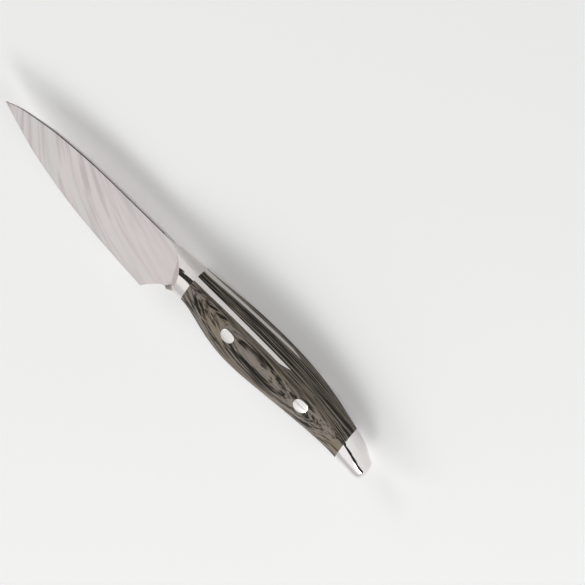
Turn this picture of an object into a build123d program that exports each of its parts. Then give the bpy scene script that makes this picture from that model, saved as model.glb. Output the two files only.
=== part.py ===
from build123d import *

import os
from math import cos, radians, sin, tan

os.makedirs("parts", exist_ok=True)

# A paring knife lying on its right side, in millimetres.
# +X runs from the tip to the butt, +Y from the edge to the spine, +Z out of the left side.
# Distances are measured back from the tip, heights up from the tip's level towards the
# spine, and half widths out from the blade's middle plane.

# Whole knife
handle_width = 22.0
crown_height = 11.75
heel_drop = 15.9

# Blade
blade_length = 89.8
spine_height = 10.9
spine_thickness = 1.8
wedge_thickness = 2.0
spine_ease = 0.4
edge_thickness = 0.42
edge_land = 0.08
bevel_height = 0.8

# Bolster
neck_length = 13.5
bolster_length = 21.8
plunge_angle = 33.0
joint_tilt = 6.5

# Blade's tongue in the bolster
tongue_length = 15.0
tongue_height = 7.0
tongue_thickness = 1.3
tongue_level = 1.5

# Handle
grip_length = 87.1
belly_drop = 9.9
core_width_share = 0.436
core_crown = 0.15
band_width_share = 0.1455
band_margin = 0.15
shoulder_drop = 0.8
crease_inset = 0.85
corner_depth = 5.2
crease_angle = 38.0
cap_tilt = 9.5

# Tang plates, which show along the back of the handle as two bright bands
plate_drop = 1.0
band_show_share = 0.602
band_point_length = 11.0
band_point_bulge = 3.6
plate_sink = 3.0
plate_tongue_share = 0.14
plate_tongue_height = 4.5
plate_tongue_thickness = 1.8
plate_tongue_level = 4.2

# Rivets
rivet_head_diameter = 6.4
rivet_sleeve_diameter = 4.2
rivet_pin_diameter = 2.8
rivet_bore_depth = 9.0
rivet_gap = 0.3
rivet_seat_share = 0.7
front_rivet_share = 0.286
front_rivet_height = 4.4
rear_rivet_share = 0.742
rear_rivet_height = 5.8

# End cap
cap_length = 15.6
cap_tenon_length = 9.0
cap_tenon_height = 5.0
cap_tenon_width = 4.0
cap_tenon_level = 2.0

fit_clearance = 0.05
overrun = 30.0

# Sizes that follow from those
core_width = handle_width * core_width_share
band_width = handle_width * band_width_share
rivet_seat = handle_width / 2 * rivet_seat_share
plate_tongue_length = bolster_length * plate_tongue_share
joint_distance = blade_length + neck_length
grip_end_distance = joint_distance + grip_length
overall_length = grip_end_distance + cap_length
rivets = (
    ("front_rivet", joint_distance + grip_length * front_rivet_share, front_rivet_height),
    ("rear_rivet", joint_distance + grip_length * rear_rivet_share, rear_rivet_height),
)

# Row frame: the origin is under the middle of the knife, on the surface that it lies on
tip_x = -overall_length / 2
tip_y = (heel_drop - crown_height) / 2
middle_z = handle_width / 2


def along(distance):
    return tip_x + distance


def level(height):
    return tip_y + height


def spot(distance, height):
    return (along(distance), level(height))


# Sections of bolster, grip and cap, front to back. The first number is the place, as a
# share of bolster_length before the joint, of grip_length after it, and of cap_length
# behind the grip. The others are shares of core_width, band_width, handle_width,
# crown_height, shoulder_drop, crease_inset, corner_depth and belly_drop, then the side's
# lean and how full the belly is.
bolster_section_shares = (
    (-1.16, 0.62, 0.94, 0.68, 0.945, 3.00, 1.76, 0.99, 2.00, -0.05, 0.34),
    (-0.56, 0.62, 0.94, 0.69, 0.865, 2.10, 2.00, 0.73, 1.25, -0.05, 0.34),
    (-0.28, 0.59, 0.97, 0.69, 0.830, 1.25, 1.76, 0.61, 0.76, -0.05, 0.42),
)
grip_section_shares = (
    (0.000, 0.567, 1.06, 0.700, 0.815, 0.65, 1.41, 0.53, 0.50, -0.06, 0.66),
    (0.166, 0.720, 0.94, 0.845, 0.885, 0.90, 0.94, 0.68, 0.76, -0.10, 0.64),
    (0.335, 0.875, 0.84, 0.973, 0.949, 1.05, 0.82, 0.82, 1.00, -0.12, 0.62),
    (0.493, 0.980, 0.78, 0.992, 0.991, 0.95, 1.00, 0.95, 0.89, -0.02, 0.62),
    (0.663, 1.000, 0.75, 0.900, 0.995, 0.80, 1.00, 1.00, 0.68, 0.14, 0.62),
    (0.832, 0.896, 0.60, 0.760, 0.900, 0.90, 0.81, 0.78, 0.52, 0.20, 0.64),
    (1.000, 0.667, 0.53, 0.636, 0.698, 1.35, 0.82, 0.42, 0.47, 0.08, 0.68),
)
cap_section_shares = (
    (0.30, 0.62, 0.50, 0.640, 0.590, 1.35, 0.82, 0.40, 0.48, 0.04, 0.68),
    (0.58, 0.56, 0.46, 0.590, 0.440, 1.20, 0.82, 0.38, 0.49, 0.00, 0.68),
    (0.80, 0.48, 0.44, 0.500, 0.290, 1.00, 0.75, 0.32, 0.50, 0.00, 0.68),
)
cap_round_share = 0.80
cap_round_centre_share = 0.65
cap_round_angles = (30, 55, 75, 90)
corner_share = 0.62
side_share = 0.5

# Outline of the blade, tip to bolster: place as a share of blade_length, spine as a share
# of spine_height, edge as a share of heel_drop, then thickness and bevel as shares of
# their full sizes. The last row lies inside the bolster.
blade_shares = (
    (0.000, 0.014, 0.010, 0.18, 0.10),
    (0.022, 0.105, 0.058, 0.30, 0.55),
    (0.056, 0.235, 0.132, 0.42, 0.80),
    (0.104, 0.368, 0.228, 0.54, 1.00),
    (0.180, 0.525, 0.371, 0.68, 1.00),
    (0.290, 0.705, 0.545, 0.82, 1.00),
    (0.425, 0.840, 0.703, 0.93, 1.00),
    (0.580, 0.918, 0.830, 0.98, 1.00),
    (0.757, 0.962, 0.918, 1.00, 1.00),
    (0.913, 1.000, 0.972, 1.00, 1.00),
    (1.150, 1.047, 1.033, 1.00, 1.00),
)

# Foot of the plunge, where the bolster rises from the blade's face: distance before the
# joint as a share of bolster_length, height as a share of spine_height, and the direction
# of the foot there in degrees
plunge_shares = (
    (0.990, 0.955),
    (0.700, 0.885),
    (0.560, 0.690),
    (0.268, -0.400),
)
plunge_directions = (-8.0, -24.0, -56.0, -60.0)
plunge_turn_shares = (0.400, -0.850)

# Choil, from the heel's corner up to the underside of the bolster: distance before the
# joint as a share of bolster_length and drop as a share of heel_drop
choil_shares = (
    (0.655, 1.036),
    (0.608, 0.880),
    (0.560, 0.780),
    (0.482, 0.635),
    (0.372, 0.472),
    (0.220, 0.374),
    (0.000, 0.327),
)


def section_sizes(shares, start, span):
    """Sizes of one handle section, from its row of shares."""
    place, core, band, width, back, shoulder, inset, corner, belly, lean, fullness = shares
    crown = crown_height * back
    inner = (core_width / 2 * core, crown - core_crown)
    side = (handle_width / 2 * width, crown - corner_depth * corner)
    crease = (side[0] - crease_inset * inset, inner[1] - shoulder_drop * shoulder)
    outer = blend(inner, crease, band_width * band / (crease[0] - inner[0]))
    bottom = -belly_drop * belly
    return start + span * place, crown, inner, outer, crease, side, bottom, lean, fullness


def blend(first, second, share):
    return tuple(a + (b - a) * share for a, b in zip(first, second))


def corner_knee(crease, side, lean):
    """Where the line down from the shoulder's crease meets the side's line, outside the
    rounded corner."""
    slope = -tan(radians(crease_angle))
    run = (side[0] - crease[0] - lean * (side[1] - crease[1])) / (1 + lean * slope)
    return (crease[0] + run, crease[1] + slope * run)


def draw_section(sizes):
    """One closed section of the handle: crowned back, a shoulder that slopes to a crease on
    each hand, a rounded corner below it, and a side and belly in one curve."""
    distance, crown, inner, outer, crease, side, bottom, lean, fullness = sizes
    knee = corner_knee(crease, side, lean)
    reach = side_share * (side[1] - bottom)
    down = (side[0] + lean * reach, side[1] - reach)
    across = (side[0] * fullness, bottom)
    keel = (0, bottom)

    def place(point, hand):
        return (level(point[1]), middle_z + hand * point[0])

    with BuildSketch(Plane.YZ.offset(along(distance))) as section:
        with BuildLine():
            ThreePointArc(place(inner, -1), place((0, crown), 1), place(inner, 1))
            for hand in (1, -1):
                Line(place(inner, hand), place(crease, hand))
                Bezier(
                    place(crease, hand),
                    place(blend(crease, knee, corner_share), hand),
                    place(blend(side, knee, corner_share), hand),
                    place(side, hand),
                )
                Bezier(place(side, hand), place(down, hand), place(across, hand), place(keel, hand))
        make_face()
    return section.sketch


def rounded_off(sizes, angle):
    """A section of the butt's rounding, drawn in by a part of a quarter turn towards a
    point below its middle."""
    distance, crown, inner, outer, crease, side, bottom, lean, fullness = sizes
    share = 1 - cap_round_share * (1 - cos(radians(angle)))
    centre = blend((0, crown), (0, bottom), cap_round_centre_share)
    inner, outer, crease, side = (
        blend(centre, point, share) for point in (inner, outer, crease, side)
    )
    crown = blend(centre, (0, crown), share)[1]
    bottom = blend(centre, (0, bottom), share)[1]
    distance = distance + (overall_length - distance) * sin(radians(angle))
    return distance, crown, inner, outer, crease, side, bottom, lean, fullness


def tilted_plane(distance, height, tilt):
    """A joint across the handle, whose lower end is set back."""
    return Plane(
        origin=(*spot(distance, height), middle_z),
        z_dir=(cos(radians(tilt)), sin(radians(tilt)), 0),
    )


bolster_sections = [
    section_sizes(shares, joint_distance, bolster_length) for shares in bolster_section_shares
]
grip_sections = [section_sizes(shares, joint_distance, grip_length) for shares in grip_section_shares]
cap_sections = [section_sizes(shares, grip_end_distance, cap_length) for shares in cap_section_shares]
butt_sections = [rounded_off(cap_sections[-1], angle) for angle in cap_round_angles]
band_sections = [bolster_sections[-1], *grip_sections, cap_sections[0]]
form_sections = bolster_sections + grip_sections + cap_sections + butt_sections

joint_plane = tilted_plane(joint_distance, grip_sections[0][1], joint_tilt)
cap_plane = tilted_plane(grip_end_distance, grip_sections[-1][1], cap_tilt)
middle_plane = Plane.XY.offset(middle_z)

# Faces of the left tang plate in plan, inner and outer, a little inside the shoulder
inner_line = [(along(sizes[0]), middle_z + sizes[2][0] + band_margin) for sizes in band_sections]
outer_line = [(along(sizes[0]), middle_z + sizes[3][0] - band_margin) for sizes in band_sections]

# Whole outer form of bolster, grip and cap, from which the pieces are divided
with BuildPart() as handle_form:
    loft([draw_section(sizes) for sizes in form_sections])

# Grip alone, between its two joints
with BuildPart() as grip_form:
    add(handle_form.part)
    split(bisect_by=joint_plane, keep=Keep.TOP)
    split(bisect_by=cap_plane, keep=Keep.BOTTOM)

# Space of the core, which fills the grip between the tang plates
with BuildPart() as core_space:
    with BuildSketch(Plane.XZ):
        with BuildLine():
            Spline(inner_line)
            Line(inner_line[-1], (inner_line[-1][0], 2 * middle_z - inner_line[-1][1]))
            Spline([(x, 2 * middle_z - z) for x, z in inner_line])
            Line((inner_line[0][0], 2 * middle_z - inner_line[0][1]), inner_line[0])
        make_face()
    extrude(amount=overrun, both=True)

# Wood that closes over the rear of each tang plate, behind the point of the bright band
sunk_line = [spot(sizes[0], sizes[1] - plate_sink) for sizes in band_sections]
band_end = along(joint_distance + grip_length * band_show_share)
band_shoulder = band_end - band_point_length
band_inside = middle_z + core_width / 2
band_outside = band_inside + band_width
butt_end = along(overall_length)
with BuildPart() as band_cover:
    with BuildSketch(middle_plane):
        with BuildLine():
            Spline(sunk_line)
            Polyline(
                sunk_line[-1],
                (sunk_line[-1][0], level(overrun)),
                (sunk_line[0][0], level(overrun)),
                sunk_line[0],
            )
        make_face()
    extrude(amount=overrun)
    with BuildSketch(Plane.XZ):
        with BuildLine():
            ThreePointArc(
                (band_end, band_inside),
                (band_end - band_point_bulge, (band_inside + band_outside) / 2),
                (band_shoulder, band_outside),
            )
            Polyline(
                (band_shoulder, band_outside),
                (band_shoulder, middle_z + overrun),
                (butt_end, middle_z + overrun),
                (butt_end, middle_z),
                (band_end, middle_z),
                (band_end, band_inside),
            )
        make_face()
    extrude(amount=overrun, both=True, mode=Mode.INTERSECT)

# Bores for the two rivets, with a counterbore for each head
with BuildPart() as rivet_bores:
    for name, distance, height in rivets:
        with BuildSketch(middle_plane):
            with Locations(spot(distance, height)):
                Circle(rivet_sleeve_diameter / 2)
        extrude(amount=overrun, both=True)
        for hand in (1, -1):
            with BuildSketch(Plane.XY.offset(middle_z + hand * rivet_seat)):
                with Locations(spot(distance, height)):
                    Circle(rivet_head_diameter / 2)
            extrude(amount=hand * overrun)

# Left tang plate: a bar that shows on the back of the grip as far as its point, runs on
# inside to the end cap, and enters the bolster with a tongue
plate_tongue_centre = (grip_sections[0][2][0] + grip_sections[0][3][0]) / 2
with BuildPart() as tang_plate_left:
    with BuildSketch(Plane.XZ):
        with BuildLine():
            Spline(inner_line)
            Line(inner_line[-1], outer_line[-1])
            Spline(outer_line)
            Line(outer_line[0], inner_line[0])
        make_face()
    extrude(amount=overrun, both=True)
    add(grip_form.part, mode=Mode.INTERSECT)
    split(bisect_by=Plane.XZ.offset(-level(-plate_drop)), keep=Keep.BOTTOM)
    add(band_cover.part, mode=Mode.SUBTRACT)
    with BuildSketch(Plane.XY.offset(middle_z + plate_tongue_centre)):
        with Locations(spot(joint_distance, plate_tongue_level)):
            Rectangle(plate_tongue_length * 2, plate_tongue_height)
    extrude(amount=plate_tongue_thickness / 2, both=True)
    add(rivet_bores.part, mode=Mode.SUBTRACT)
tang_plate_left.part.label = "tang_plate_left"
export_step(tang_plate_left.part, "parts/tang_plate_left.step")

# Right tang plate
with BuildPart() as tang_plate_right:
    mirror(tang_plate_left.part, about=middle_plane)
tang_plate_right.part.label = "tang_plate_right"
export_step(tang_plate_right.part, "parts/tang_plate_right.step")

# Room in the bolster for the tongues of the two plates
with BuildPart() as plate_sockets:
    for hand in (1, -1):
        with BuildSketch(Plane.XY.offset(middle_z + hand * plate_tongue_centre)):
            with Locations(spot(joint_distance, plate_tongue_level)):
                Rectangle(
                    (plate_tongue_length + fit_clearance) * 2,
                    plate_tongue_height + fit_clearance * 2,
                )
        extrude(amount=plate_tongue_thickness / 2 + fit_clearance, both=True)

# End cap: the butt of the handle, rounded over at the end, with a tenon into the core
with BuildPart() as cap_tenon:
    with BuildSketch(middle_plane):
        with Locations(spot(grip_end_distance, cap_tenon_level)):
            Rectangle(cap_tenon_length * 2, cap_tenon_height)
    extrude(amount=cap_tenon_width / 2, both=True)

with BuildPart() as end_cap:
    add(handle_form.part)
    split(bisect_by=cap_plane, keep=Keep.TOP)
    add(cap_tenon.part)
end_cap.part.label = "end_cap"
export_step(end_cap.part, "parts/end_cap.step")

# Core of laminated wood between the plates
with BuildPart() as handle_core:
    add(grip_form.part)
    add(core_space.part, mode=Mode.INTERSECT)
    add(cap_tenon.part, mode=Mode.SUBTRACT)
    add(rivet_bores.part, mode=Mode.SUBTRACT)
handle_core.part.label = "handle_core"
export_step(handle_core.part, "parts/handle_core.step")

# Left scale of laminated wood, rebated over the plate
with BuildPart() as scale_left:
    add(grip_form.part)
    add(core_space.part, mode=Mode.SUBTRACT)
    split(bisect_by=middle_plane, keep=Keep.TOP)
    add(tang_plate_left.part, mode=Mode.SUBTRACT)
    add(rivet_bores.part, mode=Mode.SUBTRACT)
scale_left.part.label = "scale_left"
export_step(scale_left.part, "parts/scale_left.step")

# Right scale
with BuildPart() as scale_right:
    mirror(scale_left.part, about=middle_plane)
scale_right.part.label = "scale_right"
export_step(scale_right.part, "parts/scale_right.step")

# Rivets: a sleeve from the left and a pin from the right, with heads ground flush
for name, distance, height in rivets:
    centre = spot(distance, height)
    with BuildPart() as rivet_sleeve:
        with BuildSketch(Plane.XY.offset(middle_z + rivet_seat)):
            with Locations(centre):
                Circle(rivet_head_diameter / 2)
        extrude(amount=overrun)
        with BuildSketch(Plane.XY.offset(middle_z - rivet_seat + rivet_gap)):
            with Locations(centre):
                Circle(rivet_sleeve_diameter / 2)
        extrude(amount=rivet_seat * 2 - rivet_gap)
        add(grip_form.part, mode=Mode.INTERSECT)
        with BuildSketch(Plane.XY.offset(middle_z - rivet_seat)):
            with Locations(centre):
                Circle(rivet_pin_diameter / 2)
        extrude(amount=rivet_bore_depth, mode=Mode.SUBTRACT)
    rivet_sleeve.part.label = name + "_sleeve"
    export_step(rivet_sleeve.part, f"parts/{name}_sleeve.step")

    with BuildPart() as rivet_pin:
        with BuildSketch(Plane.XY.offset(middle_z - rivet_seat)):
            with Locations(centre):
                Circle(rivet_head_diameter / 2)
        extrude(amount=-overrun)
        add(grip_form.part, mode=Mode.INTERSECT)
        with BuildSketch(Plane.XY.offset(middle_z - rivet_seat)):
            with Locations(centre):
                Circle(rivet_pin_diameter / 2 - fit_clearance)
        extrude(amount=rivet_bore_depth - rivet_gap)
    rivet_pin.part.label = name + "_pin"
    export_step(rivet_pin.part, f"parts/{name}_pin.step")


def before_joint(shares, height_size):
    return (joint_distance - bolster_length * shares[0], height_size * shares[1])


def plunge_outline(half_width):
    """Side view of the space in front of the plunge's wall, at a distance from the middle."""
    run = abs(half_width) * tan(radians(plunge_angle))
    points = []
    for shares, direction in zip(plunge_shares, plunge_directions):
        distance, height = before_joint(shares, spine_height)
        turn = radians(direction)
        points.append(spot(distance - run * sin(turn), height + run * cos(turn)))
    turn_distance, turn_height = before_joint(plunge_turn_shares, spine_height)
    low = spot(turn_distance + run, turn_height)
    first = radians(plunge_directions[0])
    last = radians(plunge_directions[-1])
    with BuildSketch(Plane.XY.offset(middle_z + half_width)) as outline:
        with BuildLine():
            Spline(points, tangents=[(cos(first), sin(first)), (cos(last), sin(last))])
            Line(points[-1], low)
            Polyline(
                low,
                (low[0], level(-overrun)),
                spot(-overrun, -overrun),
                spot(-overrun, overrun),
                (points[0][0], level(overrun)),
                points[0],
            )
        make_face()
    return outline.sketch


# Space under the choil, the curve that runs from the heel's corner up to the bolster
choil_points = [spot(*before_joint(shares, -heel_drop)) for shares in choil_shares]
with BuildPart() as choil_space:
    with BuildSketch(middle_plane):
        with BuildLine():
            Spline(choil_points)
            Polyline(
                choil_points[-1],
                (choil_points[-1][0], level(-overrun)),
                (choil_points[0][0], level(-overrun)),
                choil_points[0],
            )
        make_face()
    extrude(amount=overrun, both=True)

# Blade's tongue, and the room for it in the bolster
tongue_centre = spot(joint_distance - bolster_length / 2, tongue_level)
with BuildPart() as blade_tongue:
    with BuildSketch(middle_plane):
        with Locations(tongue_centre):
            Rectangle(tongue_length, tongue_height)
    extrude(amount=tongue_thickness / 2, both=True)
with BuildPart() as tongue_socket:
    with BuildSketch(middle_plane):
        with Locations(tongue_centre):
            Rectangle(tongue_length + fit_clearance * 2, tongue_height + fit_clearance * 2)
    extrude(amount=tongue_thickness / 2 + fit_clearance, both=True)

# The plunge is a scoop on each side of the bolster. Its two walls lean back from the foot
# and meet in a ridge on the middle plane, and the blade fills the space in front of them.
with BuildPart() as plunge_space:
    for hand in (1, -1):
        loft([plunge_outline(0), plunge_outline(hand * handle_width / 2)], ruled=True)

# Bolster
with BuildPart() as bolster:
    add(handle_form.part)
    split(bisect_by=joint_plane, keep=Keep.BOTTOM)
    add(plunge_space.part, mode=Mode.SUBTRACT)
    add(choil_space.part, mode=Mode.SUBTRACT)
    add(tongue_socket.part, mode=Mode.SUBTRACT)
    add(plate_sockets.part, mode=Mode.SUBTRACT)
bolster.part.label = "bolster"
export_step(bolster.part, "parts/bolster.step")


def blade_section(shares):
    """One section of the blade's wedge: an eased back, two ground sides and an edge bevel."""
    place, spine, edge, thickness, bevel = shares
    top = level(spine_height * spine)
    low = level(-heel_drop * edge)
    back = wedge_thickness / 2 * thickness
    shoulder = edge_thickness / 2 * thickness
    land = edge_land / 2
    bevel_top = low + bevel_height * bevel
    ease = spine_ease * thickness
    half = ((top, back - ease), (top - ease, back), (bevel_top, shoulder), (low, land))
    points = [(y, middle_z + n) for y, n in half] + [(y, middle_z - n) for y, n in reversed(half)]
    with BuildSketch(Plane.YZ.offset(along(blade_length * place))) as section:
        with BuildLine():
            Polyline(*points, close=True)
        make_face()
    return section.sketch


# Blade, from the tip to its seat on the bolster. Its ground sides would meet the back at
# the wedge's thickness, but a narrow parallel flat along the back cuts them off first.
with BuildPart() as blade:
    loft([blade_section(shares) for shares in blade_shares])
    split(bisect_by=Plane.XY.offset(middle_z + spine_thickness / 2), keep=Keep.BOTTOM)
    split(bisect_by=Plane.XY.offset(middle_z - spine_thickness / 2), keep=Keep.TOP)
    add(plunge_space.part, mode=Mode.INTERSECT)
    add(choil_space.part, mode=Mode.SUBTRACT)
    add(blade_tongue.part)
blade.part.label = "blade"
export_step(blade.part, "parts/blade.step")
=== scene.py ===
from math import cos, pi, radians, sin

import bpy
from mathutils import Matrix, Vector


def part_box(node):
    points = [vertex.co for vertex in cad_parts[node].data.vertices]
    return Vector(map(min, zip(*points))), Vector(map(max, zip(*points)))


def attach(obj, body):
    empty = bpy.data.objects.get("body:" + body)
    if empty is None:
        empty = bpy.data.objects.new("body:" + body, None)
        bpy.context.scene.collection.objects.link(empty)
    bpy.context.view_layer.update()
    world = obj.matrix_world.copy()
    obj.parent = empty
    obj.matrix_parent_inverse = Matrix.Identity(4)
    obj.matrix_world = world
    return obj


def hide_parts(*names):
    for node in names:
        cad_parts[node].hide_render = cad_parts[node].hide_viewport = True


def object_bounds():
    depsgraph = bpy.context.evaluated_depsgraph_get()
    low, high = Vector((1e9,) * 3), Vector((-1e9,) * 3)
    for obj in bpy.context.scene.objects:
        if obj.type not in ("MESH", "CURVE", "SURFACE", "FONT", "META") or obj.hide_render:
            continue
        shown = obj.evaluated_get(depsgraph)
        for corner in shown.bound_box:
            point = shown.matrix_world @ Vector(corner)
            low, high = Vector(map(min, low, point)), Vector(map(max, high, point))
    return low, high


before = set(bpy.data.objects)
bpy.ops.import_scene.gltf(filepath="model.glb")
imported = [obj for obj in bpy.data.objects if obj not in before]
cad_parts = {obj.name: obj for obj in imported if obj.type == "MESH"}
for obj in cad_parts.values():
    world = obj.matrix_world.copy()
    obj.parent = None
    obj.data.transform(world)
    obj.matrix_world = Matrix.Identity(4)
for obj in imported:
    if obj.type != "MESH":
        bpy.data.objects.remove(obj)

bl_info = {
    "name": "Paring Knife Finish",
    "version": (1, 0, 0),
    "blender": (4, 5, 0),
    "location": "View3D > Sidebar > Knife",
    "description": "Dresses the solids of a paring knife with layered steel, laminated wood and bright steel",
    "category": "Object",
}

MM = 0.001
ORIGIN = (0, 0, 0)
CAD_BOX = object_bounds()
HANDLE_MIDDLE = sum(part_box("handle_core"), Vector()) / 2
# The tip's place along the knife, and across it towards the spine
TIP = CAD_BOX[0][0]
TIP_LEVEL = 0.0021

# Where nearly all values of a noise lie, widely and closely
NOISE_SPAN = (0.3, 0.7)
NOISE_CORE = (0.4, 0.6)

# Blade: size of the broad tints, the waves and the fine lines, as millimetres along, wave or
# line widths across, and millimetres deep
TINT_SIZE = (60.0, 1.6, 20.0)
WAVE_SIZE = (28.0, 0.55, 9.0)
LINE_SIZE = (14.0, 1.0, 2.0)
WAVE_DISTORTION = 0.5
LINE_DISTORTION = 0.4
TINT_RANGE = (0.42, 0.58)
TONE_RANGE = (0.54, 0.40)
LINE_WEIGHT = 0.30
# Where the waves begin and end to fade, in millimetres behind the tip, and how much they show there
FADE_PLACES = (45.0, 85.0)
FADE_SHARES = (0.8, 0.25)
BLADE_ROUGHNESS = (0.38, 0.30)

# Rubbed steel: scratches stretched along the knife, and how far they vary its roughness
SCRATCH_STRETCH = (0.08, 1.0, 1.0)
SCRATCH_SCALE = 6.0
SCRATCH_SPREAD = (0.8, 1.2)

# Wood: features to a millimetre along the knife, from edge to back, and through the layers
BEND_SCALE = (0.018, 0.07, 0.03)
LAYER_SCALE = (0.014, 0.22, 1.1)
FIBRE_SCALE = (0.06, 0.9, 1.3)
STAIN_SCALE = (0.035, 0.07, 0.8)
BEND_HEIGHT = 3.0
LAYER_ROUGHNESS = 0.75
FIBRE_WEIGHT = 0.34
# Tones at which the dark, brown, taupe and grey veneers are pure
VENEER_TONES = (0.435, 0.47, 0.50, 0.55)
STAIN_RANGE = (0.5, 0.62)
STAIN_SHARE = 0.7
WOOD_ROUGHNESS = (0.4, 0.52)

# Rivets: where the eased rim begins, where the side's height is read, and the ray that reads it
RIM_START = 0.97
RIM_READING = 0.96
HEAD_TOP_SHARE = 0.49
SLACK = 0.01
RAY_START = 0.02
RAY_LENGTH = 0.05
RIVET_SMOOTHING = radians(35)
HEAD_SIDES = 72
SHANK_SIDES = 48

# Stage: name, place, aim, size in metres, radiance, and whether steel mirrors the lamp. The
# walls give the world's grey by the turn from the spine's side, over the top, to the edge's.
LAMPS = (
    ("key_softbox", (0.35, -0.6, 0.8), (0.35, 0, 0), (1.4, 0.9), 0.36, True),
    ("butt_softbox", (0.75, -0.6, 0.75), ORIGIN, (0.4, 0.4), 8.0, True),
    ("butt_fill", (0.9, 0.4, 0.6), ORIGIN, (0.5, 0.5), 3.0, False),
    ("tip_softbox", (-0.75, -0.6, 0.75), ORIGIN, (0.4, 0.4), 3.0, True),
    ("tip_fill", (-0.9, 0.4, 0.6), ORIGIN, (0.5, 0.5), 3.0, False),
)
WALLS = ((0.045, 1.0), (0.07, 0.03), (0.55, 0.03), (0.64, 0.62))
FLOOR_REACH = 4.0
FLOOR_GLOW = 0.2
SENSOR_WIDTH = 36


def linear(code):
    """An sRGB hex colour as linear RGBA."""
    parts = [int(code[i : i + 2], 16) / 255 for i in (1, 3, 5)]
    return (*((c / 12.92 if c <= 0.04045 else ((c + 0.055) / 1.055) ** 2.4) for c in parts), 1)


def grey_level(value):
    """A linear grey as RGBA."""
    return (value, value, value, 1)


def add_node(tree, kind, settings=None, inputs=None, stops=None):
    """Adds a node with its settings, and with its inputs set to values or linked to sockets."""
    node = tree.nodes.new(kind)
    for name, value in (settings or {}).items():
        setattr(node, name, value)
    for name, value in (inputs or {}).items():
        if isinstance(value, bpy.types.NodeSocket):
            tree.links.new(value, node.inputs[name])
        else:
            node.inputs[name].default_value = value
    if stops:
        ramp = node.color_ramp
        while len(ramp.elements) < len(stops):
            ramp.elements.new(1)
        for element, (place, colour) in zip(ramp.elements, stops):
            element.position = place
            element.color = colour
    return node


def new_material(name):
    """An empty node material, its tree, and Object coordinates in millimetres."""
    material = bpy.data.materials.new(name)
    material.use_nodes = True
    tree = material.node_tree
    tree.nodes.clear()
    place = add_node(tree, "ShaderNodeTexCoord")
    scaled = add_node(
        tree,
        "ShaderNodeVectorMath",
        {"operation": "SCALE"},
        {"Vector": place.outputs["Object"], "Scale": 1 / MM},
    )
    return material, tree, scaled.outputs["Vector"]


def close_material(tree, shader_inputs):
    """The principled shader and the output."""
    shader = add_node(tree, "ShaderNodeBsdfPrincipled", inputs=shader_inputs)
    add_node(tree, "ShaderNodeOutputMaterial", inputs={"Surface": shader.outputs["BSDF"]})


def dress(piece, material):
    """Gives a piece its one material."""
    piece.data.materials.clear()
    piece.data.materials.append(material)


class KnifeSteelSettings(bpy.types.PropertyGroup):
    layer_warm: bpy.props.FloatVectorProperty(
        name="Warm layer", description="Warm light layers of the blade's steel", size=4, subtype="COLOR",
        min=0, max=1, default=linear("#D7CFCE"),
    )
    layer_cool: bpy.props.FloatVectorProperty(
        name="Cool layer", description="Cool light layers of the blade's steel", size=4, subtype="COLOR",
        min=0, max=1, default=linear("#D4D0CE"),
    )
    layer_dark: bpy.props.FloatVectorProperty(
        name="Dark layer", description="Dark layers of the blade's steel", size=4, subtype="COLOR",
        min=0, max=1, default=linear("#C2B9B8"),
    )
    wave_width: bpy.props.FloatProperty(
        name="Wave width", description="Distance between the waves of the blade's steel",
        default=5.0 * MM, min=1 * MM, max=30 * MM, unit="LENGTH",
    )
    line_width: bpy.props.FloatProperty(
        name="Line width", description="Distance between the steel's fine lines",
        default=0.6 * MM, min=0.1 * MM, max=5 * MM, unit="LENGTH",
    )
    sweep_height: bpy.props.FloatProperty(
        name="Sweep height", description="How far the waves would drop in all",
        default=80.0 * MM, min=0, max=300 * MM, unit="LENGTH",
    )
    sweep_length: bpy.props.FloatProperty(
        name="Sweep length", description="Length over which the waves flatten",
        default=45.0 * MM, min=5 * MM, max=300 * MM, unit="LENGTH",
    )
    satin: bpy.props.FloatVectorProperty(
        name="Satin steel", description="Steel of bolster and bands", size=4, subtype="COLOR",
        min=0, max=1, default=linear("#EAE5E2"),
    )
    polished: bpy.props.FloatVectorProperty(
        name="Polished steel", description="Steel of the end cap", size=4, subtype="COLOR",
        min=0, max=1, default=linear("#EDEAE8"),
    )
    bolster_roughness: bpy.props.FloatProperty(
        name="Bolster roughness", description="How rough the bolster is rubbed", default=0.22,
        min=0, max=1, subtype="FACTOR",
    )
    band_roughness: bpy.props.FloatProperty(
        name="Band roughness", description="How rough the bands and the rivets are ground", default=0.3,
        min=0, max=1, subtype="FACTOR",
    )
    cap_roughness: bpy.props.FloatProperty(
        name="Cap roughness", description="How rough the polished end cap is", default=0.1,
        min=0, max=1, subtype="FACTOR",
    )


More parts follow.
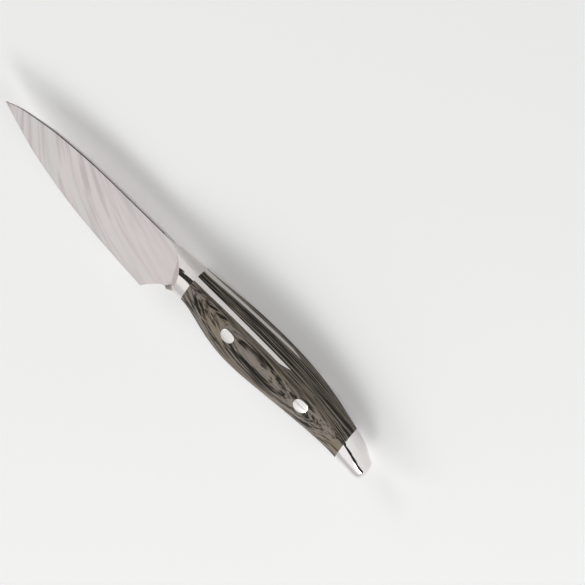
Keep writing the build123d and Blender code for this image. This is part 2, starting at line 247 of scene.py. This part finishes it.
class KnifeWoodSettings(bpy.types.PropertyGroup):
    layer_thickness: bpy.props.FloatProperty(
        name="Layer thickness", description="Thickness of one veneer", default=0.5 * MM,
        min=0.2 * MM, max=3 * MM, unit="LENGTH",
    )
    cut_place: bpy.props.FloatProperty(
        name="Cut place", default=3.3,
        description="Where in the stack of veneers the handle is cut, in pairs of veneers",
    )
    # Painted shade: leaning the core's veneers to the dark stands in for shade falling on the core
    core_painted_shade: bpy.props.FloatProperty(
        name="Core shade", description="How far the core's veneers lean to the dark", default=0.02,
        min=-0.1, max=0.1,
    )
    side_shade: bpy.props.FloatProperty(
        name="Side shade", description="How far the sides' veneers lean to the dark", default=-0.014,
        min=-0.1, max=0.1,
    )
    core_detail: bpy.props.FloatProperty(
        name="Core detail", description="How fine the core's layers are drawn", default=0.6,
        min=0, max=8,
    )
    side_detail: bpy.props.FloatProperty(
        name="Side detail", description="How fine the sides' layers are drawn", default=3.0,
        min=0, max=8,
    )
    dark: bpy.props.FloatVectorProperty(
        name="Dark veneer", description="Darkest veneers", size=4, subtype="COLOR",
        min=0, max=1, default=linear("#1B1A17"),
    )
    brown: bpy.props.FloatVectorProperty(
        name="Brown veneer", description="Dark brown veneers", size=4, subtype="COLOR",
        min=0, max=1, default=linear("#38332C"),
    )
    taupe: bpy.props.FloatVectorProperty(
        name="Taupe veneer", description="Middle veneers", size=4, subtype="COLOR",
        min=0, max=1, default=linear("#6A6159"),
    )
    grey: bpy.props.FloatVectorProperty(
        name="Grey veneer", description="Lightest veneers", size=4, subtype="COLOR",
        min=0, max=1, default=linear("#938A80"),
    )
    olive: bpy.props.FloatVectorProperty(
        name="Olive veneer", description="Olive veneers", size=4, subtype="COLOR",
        min=0, max=1, default=linear("#6C6150"),
    )


class KnifeRivetSettings(bpy.types.PropertyGroup):
    head_thickness: bpy.props.FloatProperty(
        name="Head thickness", description="Thickness of a rivet's head", default=2 * MM, unit="LENGTH",
    )
    crown: bpy.props.FloatProperty(
        name="Crown", description="How far a head rises at its middle", default=0.15 * MM, unit="LENGTH",
    )
    rim_ease: bpy.props.FloatProperty(
        name="Rim ease", description="How far a head's rim is rounded down", default=0.08 * MM,
        unit="LENGTH",
    )
    sleeve_diameter: bpy.props.FloatProperty(
        name="Sleeve", description="Diameter of the sleeve's shank", default=4.2 * MM, unit="LENGTH",
    )
    sleeve_length: bpy.props.FloatProperty(
        name="Sleeve length", description="Length of the sleeve's shank", default=9.5 * MM, unit="LENGTH",
    )
    pin_diameter: bpy.props.FloatProperty(
        name="Pin", description="Diameter of the pin's shank", default=2.7 * MM, unit="LENGTH",
    )
    pin_length: bpy.props.FloatProperty(
        name="Pin length", description="Length of the pin's shank", default=9 * MM, unit="LENGTH",
    )


class KnifeStageSettings(bpy.types.PropertyGroup):
    lean: bpy.props.FloatProperty(
        name="Camera lean", description="How far the camera leans from the left side towards the spine",
        default=radians(33.5), subtype="ANGLE",
    )
    turn: bpy.props.FloatProperty(
        name="Camera turn", description="How far the knife points down across the picture",
        default=radians(45.8), subtype="ANGLE",
    )
    distance: bpy.props.FloatProperty(
        name="Camera distance", description="From the camera to the knife", default=1.0, unit="LENGTH",
    )
    view_width: bpy.props.FloatProperty(
        name="View width", description="Width of the picture at the knife", default=0.2325, unit="LENGTH",
    )
    view_along: bpy.props.FloatProperty(
        name="Middle along", description="Picture's middle, along the knife from the frame's origin",
        default=0.0308, unit="LENGTH",
    )
    view_across: bpy.props.FloatProperty(
        name="Middle across", description="Picture's middle, across the knife from the tip's level",
        default=0.0286, unit="LENGTH",
    )
    floor: bpy.props.FloatVectorProperty(
        name="Floor", description="Colour of the floor", size=4, subtype="COLOR",
        min=0, max=1, default=linear("#F4F4F3"),
    )


def blade_steel(settings):
    """Layered stainless steel, forged in waves, ground and etched: a satin sheen with faint
    warm and cool waves that sweep back from the spine to the edge, steeply at the tip and
    flatter towards the heel, and are made of fine lines."""
    material, tree, place = new_material("etched_layered_steel")

    def math(operation, first, second=0.0, third=0.0):
        inputs = {0: first, 1: second, 2: third}
        return add_node(tree, "ShaderNodeMath", {"operation": operation}, inputs).outputs[0]

    def pattern(size, width, detail, distortion):
        """Noise of one size, whose features across are counted in a width in metres."""
        along, widths, deep = size
        spot = add_node(
            tree, "ShaderNodeCombineXYZ",
            inputs={"X": math("DIVIDE", split["X"], along),
                    "Y": math("DIVIDE", sweep, widths * width / MM),
                    "Z": math("DIVIDE", split["Z"], deep)},
        ).outputs["Vector"]
        return add_node(
            tree, "ShaderNodeTexNoise", {"noise_dimensions": "3D"},
            {"Vector": spot, "Scale": 1.0, "Detail": detail, "Roughness": 0.55,
             "Distortion": distortion},
        ).outputs["Fac"]

    split = add_node(tree, "ShaderNodeSeparateXYZ", inputs={"Vector": place}).outputs
    # A sweep that stays the same along each wave, whose slope falls off from tip to heel
    back = math("SUBTRACT", split["X"], TIP / MM)
    slope = math("EXPONENT", math("DIVIDE", back, -settings.sweep_length / MM))
    sweep = math("MULTIPLY_ADD", slope, -settings.sweep_height / MM, split["Y"])
    broad = pattern(TINT_SIZE, settings.wave_width, 1.0, 0.0)
    waves = pattern(WAVE_SIZE, settings.wave_width, 2.0, WAVE_DISTORTION)
    lines = pattern(LINE_SIZE, settings.line_width, 2.0, LINE_DISTORTION)
    hue = add_node(
        tree, "ShaderNodeMapRange",
        inputs={"Value": broad, "From Min": TINT_RANGE[0], "From Max": TINT_RANGE[1]},
    ).outputs["Result"]
    light = add_node(
        tree, "ShaderNodeMix", {"data_type": "RGBA"},
        {0: hue, 6: settings.layer_warm, 7: settings.layer_cool},
    ).outputs[2]
    tone = math("MULTIPLY_ADD", lines, LINE_WEIGHT, math("MULTIPLY", waves, 1 - LINE_WEIGHT))
    # The waves show most near the tip and fade towards the heel, which comes out lighter and plainer
    shown = add_node(
        tree, "ShaderNodeMapRange",
        inputs={"Value": back, "From Min": FADE_PLACES[0], "From Max": FADE_PLACES[1],
                "To Min": FADE_SHARES[0], "To Max": FADE_SHARES[1]},
    ).outputs["Result"]
    depth = add_node(
        tree, "ShaderNodeMapRange",
        inputs={"Value": tone, "From Min": TONE_RANGE[0], "From Max": TONE_RANGE[1],
                "To Min": 0.0, "To Max": shown},
    ).outputs["Result"]
    colour = add_node(
        tree, "ShaderNodeMix", {"data_type": "RGBA"}, {0: depth, 6: light, 7: settings.layer_dark},
    ).outputs[2]
    rough = add_node(
        tree, "ShaderNodeMapRange",
        inputs={"Value": tone, "From Min": NOISE_CORE[0], "From Max": NOISE_CORE[1],
                "To Min": BLADE_ROUGHNESS[0], "To Max": BLADE_ROUGHNESS[1]},
    ).outputs["Result"]
    close_material(tree, {"Base Color": colour, "Metallic": 1.0, "Roughness": rough})
    return material


def satin_steel(name, colour, roughness):
    """Stainless steel, rubbed lengthwise with a fine abrasive: long faint scratches along
    the knife that soften what it reflects."""
    material, tree, place = new_material(name)
    stretched = add_node(
        tree, "ShaderNodeVectorMath", {"operation": "MULTIPLY"}, {0: place, 1: SCRATCH_STRETCH},
    ).outputs["Vector"]
    scratches = add_node(
        tree, "ShaderNodeTexNoise", {"noise_dimensions": "3D"},
        {"Vector": stretched, "Scale": SCRATCH_SCALE, "Detail": 3.0, "Roughness": 0.6},
    ).outputs["Fac"]
    rough = add_node(
        tree, "ShaderNodeMapRange",
        inputs={"Value": scratches, "From Min": NOISE_SPAN[0], "From Max": NOISE_SPAN[1],
                "To Min": roughness * SCRATCH_SPREAD[0], "To Max": roughness * SCRATCH_SPREAD[1]},
    ).outputs["Result"]
    close_material(tree, {"Base Color": colour, "Metallic": 1.0, "Roughness": rough})
    return material


def laminated_wood(settings, name, shade, detail):
    """Thin dyed birch veneers, pressed with resin, shaped and buffed: the layers lie
    parallel to the blade, so they show as fine lines along the back and as rings and
    flames where the rounded sides cut through them. A shade above zero leans to the dark
    veneers, which on the core is painted shade, and detail sets how fine the layers are drawn."""
    material, tree, place = new_material(name)
    along, across, layers_deep = LAYER_SCALE
    thickness = settings.layer_thickness / MM
    bend_place = add_node(
        tree, "ShaderNodeVectorMath", {"operation": "MULTIPLY"}, {0: place, 1: BEND_SCALE},
    ).outputs["Vector"]
    bend = add_node(
        tree, "ShaderNodeTexNoise", {"noise_dimensions": "3D"},
        {"Vector": bend_place, "Scale": 1.0, "Detail": 1.5, "Roughness": 0.5},
    ).outputs["Color"]
    bend = add_node(
        tree, "ShaderNodeVectorMath", {"operation": "MULTIPLY_ADD"},
        {0: bend, 1: (0, 0, BEND_HEIGHT), 2: place},
    ).outputs["Vector"]
    layers_place = add_node(
        tree, "ShaderNodeVectorMath", {"operation": "MULTIPLY_ADD"},
        {0: bend, 1: (along, across, layers_deep / thickness), 2: (0, 0, settings.cut_place)},
    ).outputs["Vector"]
    layers = add_node(
        tree, "ShaderNodeTexNoise", {"noise_dimensions": "3D"},
        {"Vector": layers_place, "Scale": 1.0, "Detail": detail, "Roughness": LAYER_ROUGHNESS},
    ).outputs["Fac"]
    fibre_place = add_node(
        tree, "ShaderNodeVectorMath", {"operation": "MULTIPLY"},
        {0: bend, 1: FIBRE_SCALE},
    ).outputs["Vector"]
    fibres = add_node(
        tree, "ShaderNodeTexNoise", {"noise_dimensions": "3D"},
        {"Vector": fibre_place, "Scale": 1.0, "Detail": 3.0, "Roughness": 0.65, "Distortion": 0.3},
    ).outputs["Fac"]
    tone = add_node(
        tree, "ShaderNodeMix", {"data_type": "FLOAT"},
        {"Factor": FIBRE_WEIGHT, "A": layers, "B": fibres},
    ).outputs["Result"]
    veneers = (settings.dark, settings.brown, settings.taupe, settings.grey)
    grey = add_node(
        tree, "ShaderNodeValToRGB", inputs={"Fac": tone},
        stops=[(place + shade, veneer) for place, veneer in zip(VENEER_TONES, veneers)],
    ).outputs["Color"]
    stain_place = add_node(
        tree, "ShaderNodeVectorMath", {"operation": "MULTIPLY"},
        {0: bend, 1: STAIN_SCALE},
    ).outputs["Vector"]
    stain = add_node(
        tree, "ShaderNodeTexNoise", {"noise_dimensions": "3D"},
        {"Vector": stain_place, "Scale": 1.0, "Detail": 1.0},
    ).outputs["Fac"]
    share = add_node(
        tree, "ShaderNodeMapRange",
        inputs={"Value": stain, "From Min": STAIN_RANGE[0], "From Max": STAIN_RANGE[1],
                "To Min": 0.0, "To Max": STAIN_SHARE},
    ).outputs["Result"]
    colour = add_node(
        tree, "ShaderNodeMix", {"data_type": "RGBA", "blend_type": "COLOR"},
        {0: share, 6: grey, 7: settings.olive},
    ).outputs[2]
    rough = add_node(
        tree, "ShaderNodeMapRange",
        inputs={"Value": fibres, "From Min": NOISE_SPAN[0], "From Max": NOISE_SPAN[1],
                "To Min": WOOD_ROUGHNESS[0], "To Max": WOOD_ROUGHNESS[1]},
    ).outputs["Result"]
    close_material(
        tree, {"Base Color": colour, "Roughness": rough, "IOR": 1.5, "Specular IOR Level": 0.12}
    )
    return material


class KNIFE_OT_blade(bpy.types.Operator):
    """Gives the blade its layered steel"""

    bl_idname = "knife.blade"
    bl_label = "Blade"

    def execute(self, context):
        dress(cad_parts["blade"], blade_steel(context.scene.knife_steel))
        return {"FINISHED"}


class KNIFE_OT_bolster(bpy.types.Operator):
    """Gives the bolster and the bands of the tang plates their satin steel"""

    bl_idname = "knife.bolster"
    bl_label = "Bolster and bands"

    def execute(self, context):
        steel = context.scene.knife_steel
        rubbed = satin_steel("rubbed_stainless_steel", steel.satin, steel.bolster_roughness)
        dress(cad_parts["bolster"], rubbed)
        bands = satin_steel("ground_stainless_steel", steel.satin, steel.band_roughness)
        for name in ("tang_plate_left", "tang_plate_right"):
            dress(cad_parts[name], bands)
        return {"FINISHED"}


class KNIFE_OT_wood(bpy.types.Operator):
    """Gives the core and the scales their laminated wood"""

    bl_idname = "knife.wood"
    bl_label = "Wood"

    def execute(self, context):
        wood = context.scene.knife_wood
        # The core's lines are kept coarse, as finer ones would blur into one grey
        # The core is a darker copy of the sides' birch: painted shade, not a darker wood
        core = laminated_wood(wood, "laminated_birch_painted_shade", wood.core_painted_shade, wood.core_detail)
        sides = laminated_wood(wood, "laminated_birch", wood.side_shade, wood.side_detail)
        dress(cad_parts["handle_core"], core)
        for name in ("scale_left", "scale_right"):
            dress(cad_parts[name], sides)
        return {"FINISHED"}


def rivet_tree():
    """Geometry nodes of one rivet: a crowned head with an eased rim that follows the curved
    side of the handle, on a round shank, both in millimetres along +Z until they are placed."""
    tree = bpy.data.node_groups.new("rivet", "GeometryNodeTree")
    tree.is_modifier = True
    face = tree.interface
    face.new_socket("Geometry", in_out="OUTPUT", socket_type="NodeSocketGeometry")
    face.new_socket("Geometry", in_out="INPUT", socket_type="NodeSocketGeometry")
    for name, kind, value in (
        ("Side", "NodeSocketObject", None),
        ("Centre", "NodeSocketVector", (0, 0, 0)),
        ("Outward", "NodeSocketVector", (0, 0, 1)),
        ("Head Diameter", "NodeSocketFloat", 6.3),
        ("Head Thickness", "NodeSocketFloat", 2.0),
        ("Crown", "NodeSocketFloat", 0.15),
        ("Rim Ease", "NodeSocketFloat", 0.08),
        ("Shank Diameter", "NodeSocketFloat", 4.2),
        ("Shank Length", "NodeSocketFloat", 9.5),
        ("Steel", "NodeSocketMaterial", None),
    ):
        socket = face.new_socket(name, in_out="INPUT", socket_type=kind)
        if value is not None:
            socket.default_value = value
    given = tree.nodes.new("NodeGroupInput").outputs

    def math(operation, first, second=0.0, third=0.0):
        inputs = {0: first, 1: second, 2: third}
        return add_node(tree, "ShaderNodeMath", {"operation": operation}, inputs).outputs[0]

    def vector(operation, first, second):
        inputs = {0: first, "Scale" if operation == "SCALE" else 1: second}
        node = add_node(tree, "ShaderNodeVectorMath", {"operation": operation}, inputs)
        return node.outputs["Value" if operation in ("LENGTH", "DOT_PRODUCT") else "Vector"]

    head_radius = math("DIVIDE", given["Head Diameter"], 2.0)
    head = add_node(
        tree, "GeometryNodeMeshCylinder", {"fill_type": "TRIANGLE_FAN"},
        {"Vertices": HEAD_SIDES, "Side Segments": 4, "Fill Segments": 12, "Radius": head_radius,
         "Depth": given["Head Thickness"]},
    ).outputs["Mesh"]
    shank = add_node(
        tree, "GeometryNodeMeshCylinder", {"fill_type": "TRIANGLE_FAN"},
        {"Vertices": SHANK_SIDES, "Side Segments": 2, "Fill Segments": 2,
         "Radius": math("DIVIDE", given["Shank Diameter"], 2.0), "Depth": given["Shank Length"]},
    ).outputs["Mesh"]
    lowered = add_node(
        tree, "ShaderNodeCombineXYZ",
        inputs={"Z": math("MULTIPLY", given["Shank Length"], -0.5)},
    ).outputs["Vector"]
    shank = add_node(
        tree, "GeometryNodeTransform", inputs={"Geometry": shank, "Translation": lowered},
    ).outputs["Geometry"]
    whole = add_node(
        tree, "GeometryNodeMeshBoolean", {"operation": "UNION", "solver": "EXACT"},
        {1: head},
    )
    tree.links.new(shank, whole.inputs[1])
    # The crown, highest at the middle, and the eased rim
    place = add_node(tree, "GeometryNodeInputPosition").outputs["Position"]
    split = add_node(tree, "ShaderNodeSeparateXYZ", inputs={"Vector": place}).outputs
    level = vector("MULTIPLY", place, (1, 1, 0))
    radius = math("DIVIDE", vector("LENGTH", level, level), head_radius)
    dome = math("MULTIPLY", given["Crown"], math("SUBTRACT", 1.0, math("POWER", radius, 2.0)))
    rim = math("MULTIPLY", given["Rim Ease"], math("GREATER_THAN", radius, RIM_START))
    top = math("GREATER_THAN", split["Z"], math("MULTIPLY", given["Head Thickness"], HEAD_TOP_SHARE))
    lift = math("MULTIPLY", top, math("SUBTRACT", dome, rim))
    shaped = add_node(
        tree, "GeometryNodeSetPosition",
        inputs={"Geometry": whole.outputs["Mesh"],
                "Offset": add_node(tree, "ShaderNodeCombineXYZ", inputs={"Z": lift}).outputs["Vector"]},
    ).outputs["Geometry"]
    # To its place in the row frame, in metres, turned over for the right side
    outward = add_node(tree, "ShaderNodeSeparateXYZ", inputs={"Vector": given["Outward"]}).outputs["Z"]
    half = math("MULTIPLY", given["Head Thickness"], 0.5)
    in_head = math("GREATER_THAN", split["Z"], math("SUBTRACT", math("MULTIPLY", half, -1.0), SLACK))
    height = math("MULTIPLY", math("SUBTRACT", split["Z"], half), outward)
    sunk = add_node(
        tree, "ShaderNodeCombineXYZ",
        inputs={"X": split["X"], "Y": math("MULTIPLY", split["Y"], outward), "Z": height},
    ).outputs["Vector"]
    placed = vector("ADD", vector("SCALE", sunk, MM), given["Centre"])
    # The height of the handle's side above the rivet's middle, a little inside the rim
    turned = add_node(
        tree, "ShaderNodeCombineXYZ",
        inputs={"X": split["X"], "Y": math("MULTIPLY", split["Y"], outward)},
    ).outputs["Vector"]
    inside = vector("ADD", vector("SCALE", turned, MM * RIM_READING), given["Centre"])
    source = vector("ADD", inside, vector("SCALE", given["Outward"], RAY_START))
    target = add_node(
        tree, "GeometryNodeObjectInfo", {"transform_space": "ORIGINAL"}, {"Object": given["Side"]},
    ).outputs["Geometry"]
    hit = add_node(
        tree, "GeometryNodeRaycast", {"data_type": "FLOAT_VECTOR"},
        {"Target Geometry": target, "Source Position": source,
         "Ray Direction": vector("SCALE", given["Outward"], -1.0), "Ray Length": RAY_LENGTH},
    ).outputs["Hit Position"]
    rise = vector("SUBTRACT", hit, given["Centre"])
    rise = math("MULTIPLY", vector("DOT_PRODUCT", rise, (0, 0, 1)), in_head)
    followed = vector("ADD", placed, add_node(
        tree, "ShaderNodeCombineXYZ", inputs={"Z": rise}).outputs["Vector"])
    moved = add_node(
        tree, "GeometryNodeSetPosition", inputs={"Geometry": shaped, "Position": followed},
    ).outputs["Geometry"]
    real = add_node(tree, "GeometryNodeRealizeInstances", inputs={"Geometry": moved})
    steel = add_node(
        tree, "GeometryNodeSetMaterial",
        inputs={"Geometry": real.outputs["Geometry"], "Material": given["Steel"]},
    )
    add_node(tree, "NodeGroupOutput", inputs={"Geometry": steel.outputs["Geometry"]})
    return tree


def made_by(tree, name, values):
    """A plain mesh object from a geometry tree, with the tree's inputs set by identifier."""
    holder = bpy.data.objects.new(name, bpy.data.meshes.new(name))
    bpy.context.scene.collection.objects.link(holder)
    modifier = holder.modifiers.new("tree", "NODES")
    modifier.node_group = tree
    for socket in tree.interface.items_tree:
        if socket.in_out == "INPUT" and socket.name in values:
            modifier[socket.identifier] = values[socket.name]
    holder.update_tag()
    bpy.context.view_layer.update()
    graph = bpy.context.evaluated_depsgraph_get()
    mesh = bpy.data.meshes.new_from_object(
        holder.evaluated_get(graph), preserve_all_data_layers=True, depsgraph=graph
    )
    holder.modifiers.clear()
    holder.data = mesh
    mesh.name = name
    return holder


def smooth(mesh, angle):
    """Shades a mesh smooth, with edges sharper than an angle kept crisp."""
    mesh.shade_smooth()
    mesh.set_sharp_from_angle(angle=angle)


class KNIFE_OT_rivets(bpy.types.Operator):
    """Makes the rivets, with crowned heads that follow the handle's sides"""

    bl_idname = "knife.rivets"
    bl_label = "Rivets"

    def execute(self, context):
        rivet = context.scene.knife_rivet
        look = context.scene.knife_steel
        steel = satin_steel("rivet_stainless_steel", look.satin, look.band_roughness)
        tree = rivet_tree()
        for place in ("front", "rear"):
            for end, hand, shank, length in (
                ("sleeve", 1, rivet.sleeve_diameter, rivet.sleeve_length),
                ("pin", -1, rivet.pin_diameter, rivet.pin_length),
            ):
                node = f"{place}_rivet_{end}"
                low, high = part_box(node)
                centre = (low + high) / 2
                centre.z = HANDLE_MIDDLE.z
                side = Vector((centre.x, centre.y, (high if hand > 0 else low).z))
                piece = made_by(tree, f"{place}_rivet_{end}_finished", {
                    "Side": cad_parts[node],
                    "Centre": tuple(side),
                    "Outward": (0.0, 0.0, float(hand)),
                    "Head Diameter": (high.x - low.x) / MM,
                    "Head Thickness": rivet.head_thickness / MM,
                    "Crown": rivet.crown / MM,
                    "Rim Ease": rivet.rim_ease / MM,
                    "Shank Diameter": shank / MM,
                    "Shank Length": length / MM,
                    "Steel": steel,
                })
                if not piece.data.polygons:
                    raise RuntimeError(f"{piece.name} came out empty")
                smooth(piece.data, RIVET_SMOOTHING)
                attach(piece, "root")
                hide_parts(node)
        return {"FINISHED"}


class KNIFE_OT_cap(bpy.types.Operator):
    """Gives the end cap its polished steel"""

    bl_idname = "knife.cap"
    bl_label = "End cap"

    def execute(self, context):
        steel = context.scene.knife_steel
        polish = satin_steel("polished_stainless_steel", steel.polished, steel.cap_roughness)
        dress(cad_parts["end_cap"], polish)
        return {"FINISHED"}


def softbox(name, centre, aim, size, radiance):
    """A square lamp that shows in polished steel at a given radiance."""
    lamp = bpy.data.lights.new(name, "AREA")
    lamp.shape = "RECTANGLE"
    lamp.size, lamp.size_y = size
    lamp.energy = radiance * pi * size[0] * size[1]
    holder = bpy.data.objects.new(name, lamp)
    holder.location = centre
    holder.rotation_mode = "QUATERNION"
    holder.rotation_quaternion = (Vector(aim) - Vector(centre)).to_track_quat("-Z", "Y")
    bpy.context.scene.collection.objects.link(holder)
    return holder


class KNIFE_OT_stage(bpy.types.Operator):
    """Makes the floor, the lamps and the camera"""

    bl_idname = "knife.stage"
    bl_label = "Stage"

    def execute(self, context):
        stage = context.scene.knife_stage
        self.make_floor(stage)
        self.make_world()
        for name, centre, aim, size, radiance, mirrored in LAMPS:
            softbox(name, centre, aim, size, radiance).visible_glossy = mirrored
        self.make_camera(stage)
        context.scene.view_settings.view_transform = "Standard"
        return {"FINISHED"}

    def make_floor(self, stage):
        mesh = bpy.data.meshes.new("floor")
        turns = ((-1, -1), (1, -1), (1, 1), (-1, 1))
        corners = [(x * FLOOR_REACH, y * FLOOR_REACH, 0) for x, y in turns]
        mesh.from_pydata(corners, [], [(0, 1, 2, 3)])
        floor = bpy.data.objects.new("floor", mesh)
        bpy.context.scene.collection.objects.link(floor)
        material = bpy.data.materials.new("matt_paper")
        material.use_nodes = True
        tree = material.node_tree
        tree.nodes.clear()
        seen = add_node(tree, "ShaderNodeLightPath")
        shown = add_node(
            tree, "ShaderNodeMath", {"operation": "MAXIMUM"},
            {0: seen.outputs["Is Camera Ray"], 1: seen.outputs["Is Glossy Ray"]},
        )
        paper = add_node(tree, "ShaderNodeBsdfDiffuse", inputs={"Color": stage.floor})
        glow = add_node(
            tree, "ShaderNodeEmission",
            inputs={"Color": grey_level(FLOOR_GLOW), "Strength": shown.outputs["Value"]},
        )
        both = add_node(
            tree, "ShaderNodeAddShader", inputs={0: paper.outputs["BSDF"], 1: glow.outputs["Emission"]},
        )
        add_node(tree, "ShaderNodeOutputMaterial", inputs={"Surface": both.outputs["Shader"]})
        dress(floor, material)

    def make_world(self):
        world = bpy.data.worlds.new("studio")
        bpy.context.scene.world = world
        world.use_nodes = True
        tree = world.node_tree
        tree.nodes.clear()
        place = add_node(tree, "ShaderNodeTexCoord")
        # The turn from the spine's side, over the top, to the edge's side: 0 to 1
        side = add_node(tree, "ShaderNodeSeparateXYZ", inputs={"Vector": place.outputs["Generated"]})
        angle = add_node(
            tree, "ShaderNodeMath", {"operation": "ARCTAN2"},
            {0: side.outputs["Z"], 1: side.outputs["Y"]},
        )
        turn = add_node(
            tree, "ShaderNodeMapRange",
            inputs={"Value": angle.outputs["Value"], "From Min": 0.0, "From Max": pi,
                    "To Min": 0.0, "To Max": 1.0},
        )
        walls = add_node(
            tree, "ShaderNodeValToRGB", inputs={"Fac": turn.outputs["Result"]},
            stops=[(turned, grey_level(value)) for turned, value in WALLS],
        )
        background = add_node(
            tree, "ShaderNodeBackground", inputs={"Color": walls.outputs["Color"], "Strength": 1.0},
        )
        add_node(tree, "ShaderNodeOutputWorld", inputs={"Surface": background.outputs["Background"]})

    def make_camera(self, stage):
        across = Vector((0, cos(stage.lean), -sin(stage.lean)))
        back = Vector((0, sin(stage.lean), cos(stage.lean)))
        along = Vector((1, 0, 0))
        right = along * cos(stage.turn) + across * sin(stage.turn)
        up = across * cos(stage.turn) - along * sin(stage.turn)
        # The picture's middle, measured in the picture's plane from the tip's level
        target = Vector((stage.view_along, TIP_LEVEL, HANDLE_MIDDLE.z)) + across * stage.view_across
        lens = bpy.data.cameras.new("camera")
        lens.sensor_width = SENSOR_WIDTH
        lens.lens = SENSOR_WIDTH * stage.distance / stage.view_width
        camera = bpy.data.objects.new("camera", lens)
        spot = target + back * stage.distance
        turn = Matrix((right, up, back)).transposed().to_4x4()
        camera.matrix_world = Matrix.Translation(spot) @ turn
        bpy.context.scene.collection.objects.link(camera)
        bpy.context.scene.camera = camera


class KNIFE_PT_panel(bpy.types.Panel):
    """Lists the steps that finish the knife"""

    bl_label = "Paring Knife"
    bl_idname = "KNIFE_PT_panel"
    bl_space_type = "VIEW_3D"
    bl_region_type = "UI"
    bl_category = "Knife"

    def draw(self, context):
        for operator in OPERATORS:
            self.layout.operator(operator.bl_idname)


OPERATORS = (
    KNIFE_OT_blade,
    KNIFE_OT_bolster,
    KNIFE_OT_wood,
    KNIFE_OT_rivets,
    KNIFE_OT_cap,
    KNIFE_OT_stage,
)
SETTINGS = (KnifeSteelSettings, KnifeWoodSettings, KnifeRivetSettings, KnifeStageSettings)


def register():
    for kind in (*SETTINGS, *OPERATORS, KNIFE_PT_panel):
        bpy.utils.register_class(kind)
    bpy.types.Scene.knife_steel = bpy.props.PointerProperty(type=KnifeSteelSettings)
    bpy.types.Scene.knife_wood = bpy.props.PointerProperty(type=KnifeWoodSettings)
    bpy.types.Scene.knife_rivet = bpy.props.PointerProperty(type=KnifeRivetSettings)
    bpy.types.Scene.knife_stage = bpy.props.PointerProperty(type=KnifeStageSettings)


def unregister():
    del bpy.types.Scene.knife_stage
    del bpy.types.Scene.knife_rivet
    del bpy.types.Scene.knife_wood
    del bpy.types.Scene.knife_steel
    for kind in reversed((*SETTINGS, *OPERATORS, KNIFE_PT_panel)):
        bpy.utils.unregister_class(kind)


def main():
    register()
    bpy.ops.knife.blade()
    bpy.ops.knife.bolster()
    bpy.ops.knife.wood()
    bpy.ops.knife.rivets()
    bpy.ops.knife.cap()
    bpy.ops.knife.stage()


if __name__ == "__main__":
    main()
